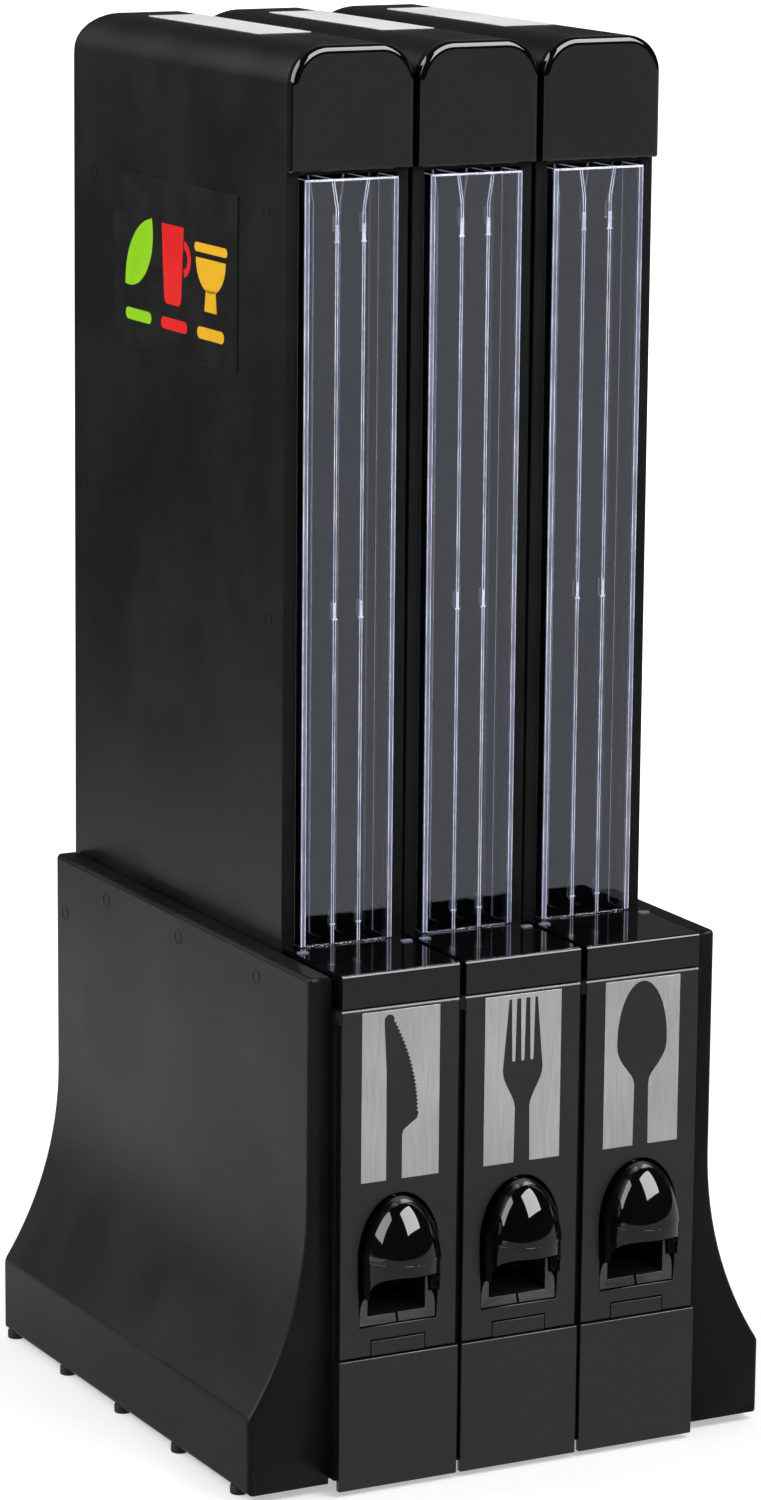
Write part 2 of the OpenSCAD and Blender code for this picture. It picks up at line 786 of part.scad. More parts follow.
module module_bolts() {
    grip = half - side_in;
    color(STEEL) for (s = [-1, 1]) translate([s * half, 0, 0]) for (p = screw_yz) {
        bar_x(-grip - 2, -grip, p[0], p[1], 3.4);
        bar_x(-grip - 1, grip + 1, p[0], p[1], bolt_r);
        bar_x(grip, grip + 2.4, p[0], p[1], 3.4);
    }
}

module base_screws() {
    color(STEEL) for (kind = KINDS) at(kind) for (y = base_screw_y) {
        translate([0, y, floor_z - plate_t - 1.6]) cylinder(h = 1.6, r = 3.4);
        translate([0, y, floor_z - plate_t - 1]) cylinder(h = base_screw_l, r = screw_r - 0.05);
    }
}

for (kind = KINDS) at(kind) {
    tower_shell(-1);
    tower_shell(1);
    refill_cap();
    sight_window();
    module_housing();
    top_cover();
    front_door();
    door_label(kind);
    push_lever();
    ejector_slide();
    return_spring();
    outlet_chute();
    door_latch();
    lower_skirt();
    top_strip();
}
mirror([1, 0, 0]) cheek();  // left_cheek
cheek();  // right_cheek
base_plate();
rubber_feet();
door_pins();
lever_pins();
cheek_screws();
module_bolts();
base_screws();
at("knife") side_patch();
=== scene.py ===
"""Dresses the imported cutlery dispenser.

Every node gets its finish, detailed pieces go over the plain solids, and a studio and a camera stand
round them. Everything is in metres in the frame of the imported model: X to the right, Y to the back,
Z up, floor at 0.
"""

import logging
import math
from dataclasses import dataclass, field
from enum import Enum
from typing import Callable, Iterable, Sequence

import bmesh
import bpy
from mathutils import Matrix, Vector


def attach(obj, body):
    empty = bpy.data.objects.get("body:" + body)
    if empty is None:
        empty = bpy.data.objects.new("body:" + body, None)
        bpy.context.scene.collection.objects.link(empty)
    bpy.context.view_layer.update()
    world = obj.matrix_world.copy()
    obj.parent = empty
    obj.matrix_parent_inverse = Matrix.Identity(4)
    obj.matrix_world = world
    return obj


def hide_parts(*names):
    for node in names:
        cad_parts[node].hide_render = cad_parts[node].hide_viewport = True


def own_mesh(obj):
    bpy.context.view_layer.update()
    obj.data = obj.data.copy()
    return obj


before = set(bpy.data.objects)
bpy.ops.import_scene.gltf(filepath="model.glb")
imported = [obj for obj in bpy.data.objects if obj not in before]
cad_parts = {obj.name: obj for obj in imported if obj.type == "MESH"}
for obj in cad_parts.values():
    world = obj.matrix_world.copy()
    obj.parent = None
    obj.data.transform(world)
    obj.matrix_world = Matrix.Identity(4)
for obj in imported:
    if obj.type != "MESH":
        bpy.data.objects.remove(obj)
LOG = logging.getLogger("dispenser")
MM = 0.001
LINE_SHARE, CLOUD_SHARE = 0.45, 0.55
Point = tuple[float, float, float]
Flat = tuple[float, float]
Color = tuple[float, float, float, float]
Bar = tuple[Point, Point, float, float]
Socket = bpy.types.NodeSocket
Node = bpy.types.Node
Piece = bpy.types.Object
Material = bpy.types.Material


class Kind(Enum):
    """The three dispensers, with the place of each along X in millimetres."""

    KNIFE = ("knife", -59.0)
    FORK = ("fork", 0.0)
    SPOON = ("spoon", 59.0)

    @property
    def word(self) -> str:
        """Ending of this dispenser's node names."""
        return self.value[0]

    @property
    def x(self) -> float:
        """Middle of this dispenser along X, in millimetres."""
        return self.value[1]


# ---------------- shader helpers


class Sheet:
    """A node tree that is filled from left to right."""

    def __init__(self, tree: bpy.types.NodeTree) -> None:
        """Starts on an empty tree.

        Args:
            tree: the tree to fill.
        """
        self.tree = tree
        tree.nodes.clear()
        self.column = 0

    def add(self, kind: str, values: dict[str, object] | None = None, **settings: object) -> Node:
        """Adds one node.

        Args:
            kind: Blender's type name of the node.
            values: input values or output sockets by input name or index.
            settings: attributes of the node.

        Returns:
            The new node.
        """
        node = self.tree.nodes.new(kind)
        node.location = (self.column * 190, 0)
        self.column += 1
        for name, value in settings.items():
            setattr(node, name, value)
        for name, value in (values or {}).items():
            if isinstance(value, Socket):
                self.tree.links.new(value, node.inputs[name])
            else:
                node.inputs[name].default_value = value
        return node

    def math(self, operation: str, first: object, second: object = 0.0, clamp: bool = False) -> Socket:
        """Adds a Math node on two values or sockets and returns its result."""
        return self.add("ShaderNodeMath", {0: first, 1: second}, operation=operation,
                        use_clamp=clamp).outputs[0]

    def ramp(self, value: object, low: float, high: float, start: object = 0.0, end: object = 1.0,
             smooth: bool = False) -> Socket:
        """Maps low..high to start..end, eased where smooth is set, and returns the result."""
        return self.add("ShaderNodeMapRange", {0: value, 1: low, 2: high, 3: start, 4: end},
                        interpolation_type="SMOOTHSTEP" if smooth else "LINEAR").outputs[0]

    def mix(self, share: object, first: object, second: object) -> Socket:
        """Mixes two colours by the share of the second and returns the result."""
        return self.add("ShaderNodeMix", {0: share, 6: first, 7: second}, data_type="RGBA").outputs[2]

    def place(self) -> Socket:
        """The place on the piece, in its own coordinates."""
        return self.add("ShaderNodeTexCoord").outputs["Object"]

    def noise(self, place: object, scale: object, detail: float, roughness: float = 0.5) -> Socket:
        """Adds a noise texture with detail as its octaves and returns its value."""
        return self.add("ShaderNodeTexNoise", {"Vector": place, "Scale": scale, "Detail": detail,
                                               "Roughness": roughness}).outputs[0]


def open_material(name: str) -> tuple[Material, Sheet]:
    """Makes a material with an empty node tree.

    Args:
        name: name of the material.

    Returns:
        The material and its sheet.
    """
    material = bpy.data.materials.new(name)
    material.use_nodes = True
    return material, Sheet(material.node_tree)


FLOAT, COLOR, VECTOR = "NodeSocketFloat", "NodeSocketColor", "NodeSocketVector"


def shader_group(name: str, inputs: Sequence[tuple[str, str, object]],
                 fill: Callable[[Sheet, dict], dict[str, Socket]]) -> bpy.types.ShaderNodeTree:
    """Builds a shader node group.

    Args:
        name: name of the group.
        inputs: (name, socket type, default) of each input.
        fill: draws the inside from the sheet and the input sockets by name, and returns the outputs by name.

    Returns:
        The group.
    """
    tree = bpy.data.node_groups.new(name, "ShaderNodeTree")
    for label, kind, default in inputs:
        tree.interface.new_socket(label, in_out="INPUT", socket_type=kind).default_value = default
    sheet = Sheet(tree)
    source = sheet.add("NodeGroupInput")
    made = fill(sheet, {s.name: s for s in source.outputs})
    for label in made:
        tree.interface.new_socket(label, in_out="OUTPUT", socket_type=COLOR if label == "Color" else FLOAT)
    sheet.add("NodeGroupOutput", made)
    return tree


def fill_moulded(sheet: Sheet, given: dict) -> dict[str, Socket]:
    """Draws the moulded surface: pebble grain, slow tone changes and uneven gloss.

    Args:
        sheet: sheet of the group.
        given: input sockets by name.

    Returns:
        The outputs by name.
    """
    place = sheet.place()
    slow = sheet.noise(place, given["Tone Scale"], 3.0, 0.55)
    grain = sheet.noise(place, given["Grain Scale"], 2.0, 0.6)
    tone = sheet.ramp(slow, 0.32, 0.68, smooth=True)
    speck = sheet.math("MULTIPLY", sheet.ramp(grain, 0.35, 0.7), given["Speckle"])
    plain = sheet.math("MULTIPLY", tone, sheet.math("SUBTRACT", 1.0, given["Speckle"]))
    both = sheet.math("ADD", plain, speck, clamp=True)
    swing = sheet.math("MULTIPLY", sheet.math("SUBTRACT", tone, 0.5), given["Roughness Spread"])
    return {"Color": sheet.mix(both, given["Dark"], given["Light"]),
            "Roughness": sheet.math("ADD", given["Roughness"], swing, clamp=True), "Height": grain}


def fill_dust(sheet: Sheet, given: dict) -> dict[str, Socket]:
    """Draws a thin film of lint and dust specks.

    Args:
        sheet: sheet of the group.
        given: input sockets by name.

    Returns:
        The outputs by name.
    """
    place = sheet.place()
    cells = sheet.add("ShaderNodeTexVoronoi", {"Vector": place, "Scale": given["Speck Scale"]}, feature="F1")
    where = sheet.ramp(sheet.noise(place, 14.0, 2.0), 0.5, 0.72)
    dots = sheet.ramp(cells.outputs["Distance"], 0.10, 0.02)
    return {"Mask": sheet.math("MULTIPLY", sheet.math("MULTIPLY", dots, where), given["Amount"])}


def fill_brushed(sheet: Sheet, given: dict) -> dict[str, Socket]:
    """Draws brush lines along the axis that the stretch leaves long.

    Args:
        sheet: sheet of the group.
        given: input sockets by name.

    Returns:
        The outputs by name.
    """
    place = sheet.place()
    run = sheet.add("ShaderNodeMapping", {"Vector": place, "Scale": given["Stretch"]})
    lines = sheet.noise(run.outputs[0], given["Line Scale"], 4.0, 0.65)
    broad = sheet.ramp(sheet.noise(place, 22.0, 1.0), 0.3, 0.7)
    blend = sheet.math("ADD", sheet.math("MULTIPLY", sheet.ramp(lines, 0.3, 0.7), LINE_SHARE),
                       sheet.math("MULTIPLY", broad, CLOUD_SHARE))
    return {"Color": sheet.mix(blend, given["Dark"], given["Light"]),
            "Roughness": sheet.ramp(lines, 0.2, 0.8, given["Roughness Low"], given["Roughness High"]),
            "Height": lines}


def grey(level: float, tint: float = 0.0) -> Color:
    """A grey with its alpha: tint is the share by which blue rises and red falls."""
    return (level * (1 - tint), level, level * (1 + tint), 1.0)


TONES = [("Dark", COLOR, grey(0.5)), ("Light", COLOR, grey(0.5))]
MOULDED = shader_group(
    "moulded_surface",
    TONES + [("Tone Scale", FLOAT, 20.0), ("Grain Scale", FLOAT, 2000.0), ("Speckle", FLOAT, 0.3),
             ("Roughness", FLOAT, 0.5), ("Roughness Spread", FLOAT, 0.1)], fill_moulded)
DUST = shader_group("dust_specks", [("Speck Scale", FLOAT, 300.0), ("Amount", FLOAT, 0.3)], fill_dust)
BRUSHED = shader_group(
    "brushed_lines",
    TONES + [("Line Scale", FLOAT, 60.0), ("Stretch", VECTOR, (1.0, 1.0, 1.0)), ("Roughness Low", FLOAT, 0.3),
             ("Roughness High", FLOAT, 0.5)], fill_brushed)


@dataclass(frozen=True)
class Finish:
    """What every finish has: a name, two tones and the depth of its relief in metres."""

    name: str
    dark: Color
    light: Color
    depth: float = field(default=0.00002, kw_only=True)

    def skin(self, sheet: Sheet) -> Node:
        """Adds the node group that draws the surface, and returns it."""
        raise NotImplementedError

    def surface(self, sheet: Sheet, color: Socket) -> dict[str, object]:
        """Returns the shader values that only this kind of finish has, from the drawn colour."""
        raise NotImplementedError

    def make(self) -> Material:
        """Builds the material."""
        material, sheet = open_material(self.name)
        skin = self.skin(sheet)
        bump = sheet.add("ShaderNodeBump", {"Height": skin.outputs["Height"], "Strength": 1.0,
                                            "Distance": self.depth})
        values = {"Base Color": skin.outputs["Color"], "Roughness": skin.outputs["Roughness"],
                  "Normal": bump.outputs[0]}
        values.update(self.surface(sheet, skin.outputs["Color"]))
        shader = sheet.add("ShaderNodeBsdfPrincipled", values)
        sheet.add("ShaderNodeOutputMaterial", {"Surface": shader.outputs[0]})
        return material


@dataclass(frozen=True)
class Moulded(Finish):
    """A moulded plastic, rubber or printed surface."""

    roughness: float
    spread: float = 0.08
    grain: float = 1800.0
    tone: float = 18.0
    speckle: float = 0.3
    specular: float = 0.5
    dust: float = 0.0
    glow: float = 0.0

    def skin(self, sheet: Sheet) -> Node:
        """Adds the moulded surface."""
        return sheet.add("ShaderNodeGroup", {
            "Dark": self.dark, "Light": self.light, "Tone Scale": self.tone, "Grain Scale": self.grain,
            "Speckle": self.speckle, "Roughness": self.roughness, "Roughness Spread": self.spread},
            node_tree=MOULDED)

    def surface(self, sheet: Sheet, color: Socket) -> dict[str, object]:
        """Lays dust over the colour and sets gloss and glow."""
        if self.dust:
            film = sheet.add("ShaderNodeGroup", {"Amount": self.dust}, node_tree=DUST)
            color = sheet.mix(film.outputs["Mask"], color, grey(0.25))
        return {"Base Color": color, "Specular IOR Level": self.specular, "Emission Color": color,
                "Emission Strength": self.glow}


@dataclass(frozen=True)
class Brushed(Finish):
    """A brushed metal or foil."""

    stretch: Point
    low: float = 0.3
    high: float = 0.5

    def skin(self, sheet: Sheet) -> Node:
        """Adds the brush lines."""
        return sheet.add("ShaderNodeGroup", {
            "Dark": self.dark, "Light": self.light, "Line Scale": 60.0, "Stretch": self.stretch,
            "Roughness Low": self.low, "Roughness High": self.high}, node_tree=BRUSHED)

    def surface(self, sheet: Sheet, color: Socket) -> dict[str, object]:
        """Makes it metal."""
        return {"Metallic": 1.0}


@dataclass(frozen=True)
class Clear(Finish):
    """A clear moulded plastic with a faint cast and slight waves."""

    roughness: float = 0.02
    ior: float = 1.72
    cast: Color = (0.86, 0.88, 1.0, 1.0)

    def skin(self, sheet: Sheet) -> Node:
        """Adds a moulded surface with broad waves."""
        return sheet.add("ShaderNodeGroup", {
            "Dark": self.dark, "Light": self.light, "Tone Scale": 30.0, "Grain Scale": 160.0, "Speckle": 0.1,
            "Roughness": self.roughness, "Roughness Spread": 0.02}, node_tree=MOULDED)

    def surface(self, sheet: Sheet, color: Socket) -> dict[str, object]:
        """Makes it clear."""
        return {"Transmission Weight": 1.0, "IOR": self.ior, "Specular Tint": self.cast}


FINISHES = {f.name: f for f in (
    Moulded("tower_shell", grey(0.0045), grey(0.0075, -0.03), 0.35, specular=0.13, dust=0.1),
    Moulded("cheek_matte", grey(0.006), grey(0.01, -0.03), 0.36, grain=1300.0, specular=0.1, dust=0.14),
    Moulded("housing_black", grey(0.003), grey(0.005), 0.5, specular=0.15),
    Moulded("gloss_black", grey(0.002), grey(0.0035), 0.04, spread=0.02, grain=700.0, depth=0.000002,
            dust=0.06),
    Moulded("door_satin", grey(0.0065), grey(0.0085), 0.3, spread=0.05, grain=2600.0, depth=0.000006,
            specular=0.55),
    # Painted sheen: a lighter grey for the chute's bevels and up-facing floor, standing in for the light they
    # catch.
    Moulded("outlet_painted_sheen", grey(0.035), grey(0.055), 0.3, spread=0.1, grain=1500.0, depth=0.000008,
            specular=0.7),
    Moulded("slide_grey", grey(0.13), grey(0.17), 0.4, specular=0.4),
    Moulded("pale_strip", grey(0.8), grey(0.88), 0.45, grain=900.0, depth=0.000006),
    Moulded("foot_rubber", grey(0.012), grey(0.02), 0.8, grain=1200.0, depth=0.00004, specular=0.3),
    Moulded("patch_black", grey(0.0035), grey(0.0075), 0.36, grain=900.0, depth=0.00001, speckle=0.7,
            tone=60.0, specular=0.16, dust=0.2),
    Moulded("motif_green", (0.26, 0.62, 0.0, 1), (0.33, 0.72, 0.01, 1), 0.4, depth=0.000006, specular=0.15),
    Moulded("motif_red", (0.72, 0.004, 0.004, 1), (0.82, 0.01, 0.008, 1), 0.4, depth=0.000006, specular=0.15),
    Moulded("motif_yellow", (0.82, 0.42, 0.0, 1), (0.9, 0.5, 0.01, 1), 0.4, depth=0.000006, specular=0.15),
    Clear("clear_window", (0.86, 0.89, 0.98, 1), (0.92, 0.94, 0.99, 1)),
    # Painted highlight: the pale glowing finish of the thin lines along the window's edges and ribs.
    Moulded("glowing_edge_highlight", (0.36, 0.38, 0.5, 1), (0.72, 0.74, 0.84, 1), 0.25, tone=90.0, depth=0.000004,
            glow=0.3),
    # Painted highlight: the glowing lavender finish of the window's hazy corner bands and of the bright tabs
    # at its foot.
    Moulded("glowing_haze_highlight", (0.1, 0.105, 0.15, 1), (0.17, 0.175, 0.23, 1), 0.2, tone=60.0, depth=0.000004,
            glow=0.5),
    Brushed("label_silver", grey(0.49, -0.02), grey(0.64, -0.02), (40.0, 40.0, 1.0), depth=0.000004),
    Brushed("spring_steel", grey(0.42), grey(0.6), (1.0, 30.0, 30.0), low=0.2, high=0.36,
            depth=0.000004),
)}
MATERIALS: dict[str, Material] = {}


def finish(name: str) -> Material:
    """The material of a finish, built when it is first asked for.

    Args:
        name: name of the finish.

    Returns:
        The material.
    """
    if name not in MATERIALS:
        MATERIALS[name] = FINISHES[name].make()
    return MATERIALS[name]


# ---------------- mesh helpers


def settle(piece: Piece, body: str, slot: str, nodes: Sequence[str] = (),
           material: str | None = None) -> Piece:
    """Gives a finished piece its material and body, and hides the nodes it stands for.

    Args:
        piece: the finished piece.
        body: body that it moves with.
        slot: name of the finish, where no material is given.
        nodes: CAD nodes that it replaces.
        material: finish, where it isn't named as the slot.

    Returns:
        The same piece.
    """
    piece.data.materials.clear()
    piece.data.materials.append(finish(material or slot))
    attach(piece, body)
    if nodes:
        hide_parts(*nodes)
    LOG.info("%s rides on %s", piece.name, body)
    return piece


def new_object(name: str, data: bpy.types.ID) -> Piece:
    """Links a new object at the origin.

    Args:
        name: name of the object.
        data: its mesh, lamp or camera.

    Returns:
        The new object.
    """
    piece = bpy.data.objects.new(name, data)
    bpy.context.scene.collection.objects.link(piece)
    return piece


def clean(mesh: bpy.types.Mesh) -> None:
    """Merges a mesh's doubles and turns its faces outward.

    Args:
        mesh: the mesh.
    """
    work = bmesh.new()
    work.from_mesh(mesh)
    bmesh.ops.remove_doubles(work, verts=work.verts, dist=1e-6)
    bmesh.ops.recalc_face_normals(work, faces=work.faces)
    work.to_mesh(mesh)
    work.free()


def mesh_of(name: str, points: Sequence[Sequence[float]], faces: Sequence[Sequence[int]]) -> Piece:
    """Makes a piece from points in millimetres, with merged doubles and outward faces.

    Args:
        name: name of the piece.
        points: corners in millimetres.
        faces: corner indices of each face.

    Returns:
        The new object.
    """
    mesh = bpy.data.meshes.new(name)
    mesh.from_pydata([Vector(p) * MM for p in points], [], faces)
    clean(mesh)
    return new_object(name, mesh)


def merged_copy(node: str, name: str, whole: bool = True) -> Piece:
    """A copy of a CAD node with its triangles merged into whole faces.

    Args:
        node: name of the CAD node.
        name: name of the new piece.
        whole: False to keep its triangles.

    Returns:
        The new object.
    """
    mesh = bpy.data.meshes.new(name)
    work = bmesh.new()
    work.from_mesh(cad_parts[node].data)
    bmesh.ops.remove_doubles(work, verts=work.verts, dist=2e-6)
    if whole:
        bmesh.ops.dissolve_limit(work, angle_limit=math.radians(0.6), verts=work.verts, edges=work.edges)
    work.to_mesh(mesh)
    work.free()
    return new_object(name, mesh)


def loft_faces(count: int, rings: int, first: int = 0) -> list[list[int]]:
    """Faces of a closed body through rings of corners.

    Args:
        count: corners of each ring.
        rings: number of rings.
        first: index of the first corner.

    Returns:
        The side faces, then the two ends.
    """
    starts = [first + k * count for k in range(rings)]
    sides = [[a + i, a + (i + 1) % count, b + (i + 1) % count, b + i]
             for a, b in zip(starts, starts[1:]) for i in range(count)]
    return sides + [[s + i for i in range(count)] for s in (starts[0], starts[-1])]


def soften(piece: Piece, width: float, segments: int = 3, angle: float = 32.0) -> Piece:
    """Rounds a piece's edges with a bevel and smooth, weighted shading.

    Args:
        piece: the piece.
        width: width of the rounding in millimetres.
        segments: steps of the rounding.
        angle: least angle of an edge that is rounded, in degrees.

    Returns:
        The same piece.
    """
    for face in piece.data.polygons:
        face.use_smooth = True
    edge = piece.modifiers.new("edge_rounding", "BEVEL")
    edge.width = width * MM
    edge.segments = segments
    edge.limit_method = "ANGLE"
    edge.angle_limit = math.radians(angle)
    edge.use_clamp_overlap = True
    edge.miter_outer = "MITER_ARC"
    shade = piece.modifiers.new("edge_shading", "WEIGHTED_NORMAL")
    shade.keep_sharp = True
    return piece


def soften_where(piece: Piece, width: float, chosen: Callable[[Vector, Vector], bool],
                 segments: int = 4) -> Piece:
    """Rounds only the chosen sharp edges of a piece.

    Args:
        piece: the piece.
        width: width of the rounding in millimetres.
        chosen: tells from an edge's two ends, in millimetres, whether it is rounded.
        segments: steps of the rounding.

    Returns:
        The same piece.
    """
    work = bmesh.new()
    work.from_mesh(piece.data)
    weight = work.edges.layers.float.new("bevel_weight_edge")
    for edge in work.edges:
        ends = [v.co / MM for v in edge.verts]
        if len(edge.link_faces) == 2 and edge.calc_face_angle() > 0.5 and chosen(*ends):
            edge[weight] = 1.0
    work.to_mesh(piece.data)
    work.free()
    soften(piece, width, segments)
    piece.modifiers["edge_rounding"].limit_method = "WEIGHT"
    return piece


def stick(start: Point, end: Point, wide: float, thick: float) -> tuple[list[Point], list[list[int]]]:
    """A straight bar of a small rectangular section.

    Args:
        start: middle of one end, in millimetres.
        end: middle of the other end.
        wide: width, along X, or along Y on a bar that runs along X.
        thick: the section's other measure.

    Returns:
        Its corners and its faces.
    """
    run = [abs(b - a) for a, b in zip(start, end)]
    main = run.index(max(run))
    first, second = [i for i in range(3) if i != main]
    corners = []
    for middle in (start, end):
        for u, v in ((-1, -1), (1, -1), (1, 1), (-1, 1)):
            corner = list(middle)
            corner[first] += u * wide / 2
            corner[second] += v * thick / 2
            corners.append(tuple(corner))
    return corners, loft_faces(4, 2)


def sticks_of(name: str, sticks: Iterable[Bar], shift: float = 0.0) -> Piece:
    """One piece of many bars.

    Args:
        name: name of the piece.
        sticks: start, end, width and thickness of each bar.
        shift: distance that all of them are moved along X.

    Returns:
        The new object.
    """
    points, faces = [], []
    for start, end, wide, thick in sticks:
        corners, sides = stick(start, end, wide, thick)
        faces += [[len(points) + i for i in side] for side in sides]
        points += [(x + shift, y, z) for x, y, z in corners]
    return mesh_of(name, points, faces)


def dressed(node: str, body: str, slot: str, width: float, material: str | None = None) -> Piece:
    """Replaces a CAD node by a copy with rounded edges (width in millimetres) and a finish."""
    piece = soften(merged_copy(node, "shaped_" + node), width)
    return settle(piece, body, slot, [node], material)


def dress_node(node: str, material: str) -> None:
    """Gives a CAD node that stays as it is its finish.

    Args:
        node: name of the CAD node.
        material: name of the finish.
    """
    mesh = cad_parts[node].data
    mesh.materials.clear()
    mesh.materials.append(finish(material))
    LOG.info("%s keeps its solid, in %s", node, material)


# ---------------- geometry node helpers


@dataclass
class Grower:
    """Runs one geometry node tree on a mesh of points and keeps the plain result."""

    tree: bpy.types.GeometryNodeTree

    def grow(self, name: str, points: Sequence[Point], values: dict[str, object]) -> Piece:
        """Makes a plain mesh piece.

        Args:
            name: name of the piece.
            points: places of the copies, in millimetres.
            values: the tree's named inputs.

        Returns:
            The new piece.
        """
        seed = bpy.data.meshes.new(name + "_points")
        seed.from_pydata([Vector(p) * MM for p in points], [], [])
        carrier = new_object(name + "_carrier", seed)
        modifier = carrier.modifiers.new("grow", "NODES")
        modifier.node_group = self.tree
        names = {s.name: s.identifier for s in self.tree.interface.items_tree if s.in_out == "INPUT"}
        for label, value in values.items():
            modifier[names[label]] = value
        held = carrier.evaluated_get(bpy.context.evaluated_depsgraph_get())
        mesh = bpy.data.meshes.new_from_object(held)
        mesh.name = name
        bpy.data.objects.remove(carrier)
        clean(mesh)
        for face in mesh.polygons:
            face.use_smooth = True
        return new_object(name, mesh)


def geometry_tree(name: str, inputs: Sequence[tuple[str, str, object]],
                  fill: Callable[[Sheet, dict], Socket]) -> Grower:
    """Builds a geometry node tree that ends in realized instances with a material.

    Args:
        name: name of the tree.
        inputs: (name, socket type, default) of each named input.
        fill: draws the inside and returns the geometry before it is realized.

    Returns:
        A grower for the tree.
    """
    tree = bpy.data.node_groups.new(name, "GeometryNodeTree")
    tree.interface.new_socket("Geometry", in_out="INPUT", socket_type="NodeSocketGeometry")
    for label, kind, default in inputs:
        tree.interface.new_socket(label, in_out="INPUT", socket_type=kind).default_value = default
    tree.interface.new_socket("Finish", in_out="INPUT", socket_type="NodeSocketMaterial")
    tree.interface.new_socket("Geometry", in_out="OUTPUT", socket_type="NodeSocketGeometry")
    sheet = Sheet(tree)
    source = sheet.add("NodeGroupInput")
    given = {s.name: s for s in source.outputs}
    copies = fill(sheet, given)
    real = sheet.add("GeometryNodeRealizeInstances", {"Geometry": copies})
    coated = sheet.add("GeometryNodeSetMaterial", {"Geometry": real.outputs[0], "Material": given["Finish"]})
    sheet.add("NodeGroupOutput", {"Geometry": coated.outputs[0]})
    return Grower(tree)


def copies_of(sheet: Sheet, given: dict, thing: Socket) -> Socket:
    """Returns copies of a thing, one on each given point, turned by the input Turn."""
    return sheet.add("GeometryNodeInstanceOnPoints", {
        "Points": given["Geometry"], "Instance": thing, "Rotation": given["Turn"]}).outputs[0]


def lathe(sheet: Sheet, outer: object, inner: object, height: object, fillet: object) -> Socket:
    """Draws a round washer with rounded edges, from inner to outer radius, standing on its place.

    Args:
        sheet: sheet of the tree.
        outer: outer radius.
        inner: inner radius.
        height: height of the section.
        fillet: radius of the section's corners.

    Returns:
        The mesh.
    """
    middle = sheet.math("MULTIPLY", sheet.math("ADD", outer, inner), 0.5)
    width = sheet.math("SUBTRACT", outer, inner)
    ring = sheet.add("GeometryNodeCurvePrimitiveCircle", {"Resolution": 40, "Radius": middle})
    section = sheet.add("GeometryNodeCurvePrimitiveQuadrilateral", {"Width": width, "Height": height})
    rounded = sheet.add("GeometryNodeFilletCurve", {
        "Curve": section.outputs[0], "Count": 3, "Radius": fillet}, mode="POLY")
    return sheet.add("GeometryNodeCurveToMesh", {
        "Curve": ring.outputs[0], "Profile Curve": rounded.outputs[0]}).outputs[0]


def fill_stamps(sheet: Sheet, given: dict) -> Socket:
    """Sets a round washer on each point, from the sheet's inputs by name, and returns the copies."""
    ring = lathe(sheet, given["Outer Radius"], given["Inner Radius"], given["Height"], given["Fillet"])
    return copies_of(sheet, given, ring)


def fill_coil(sheet: Sheet, given: dict) -> Socket:
    """Winds a wire into a coil on each point.

    Args:
        sheet: sheet of the tree.
        given: input sockets by name.

    Returns:
        The copies.
    """
    path = sheet.add("GeometryNodeCurveSpiral", {
        "Resolution": 24, "Rotations": given["Turns"], "Start Radius": given["Coil Radius"],
        "End Radius": given["Coil Radius"], "Height": given["Length"]})
    wire = sheet.add("GeometryNodeCurvePrimitiveCircle", {"Resolution": 8, "Radius": given["Wire Radius"]})
    tube = sheet.add("GeometryNodeCurveToMesh", {"Curve": path.outputs[0], "Profile Curve": wire.outputs[0],
                                                 "Fill Caps": True})
    return copies_of(sheet, given, tube.outputs[0])


TURN = ("Turn", VECTOR, (0, 0, 0))
STAMPS = geometry_tree(
    "round_stamps",
    [("Outer Radius", FLOAT, 0.003), ("Inner Radius", FLOAT, 0.002), ("Height", FLOAT, 0.001),
     ("Fillet", FLOAT, 0.0001), TURN], fill_stamps)
COILS = geometry_tree(
    "wound_coils",
    [("Turns", FLOAT, 10.0), ("Coil Radius", FLOAT, 0.004), ("Wire Radius", FLOAT, 0.0005),
     ("Length", FLOAT, 0.06), TURN], fill_coil)


def stamps(name: str, places: Sequence[Point], material: str, outer: float, inner: float, height: float,
           fillet: float, turn: Point = (0.0, 0.0, 0.0)) -> Piece:
    """Sets a round washer on each place; its measures are in millimetres and its turn in radians."""
    return STAMPS.grow(name, places, {
        "Outer Radius": outer * MM, "Inner Radius": inner * MM, "Height": height * MM, "Fillet": fillet * MM,
        "Turn": turn, "Finish": finish(material)})


# ---------------- the dispenser


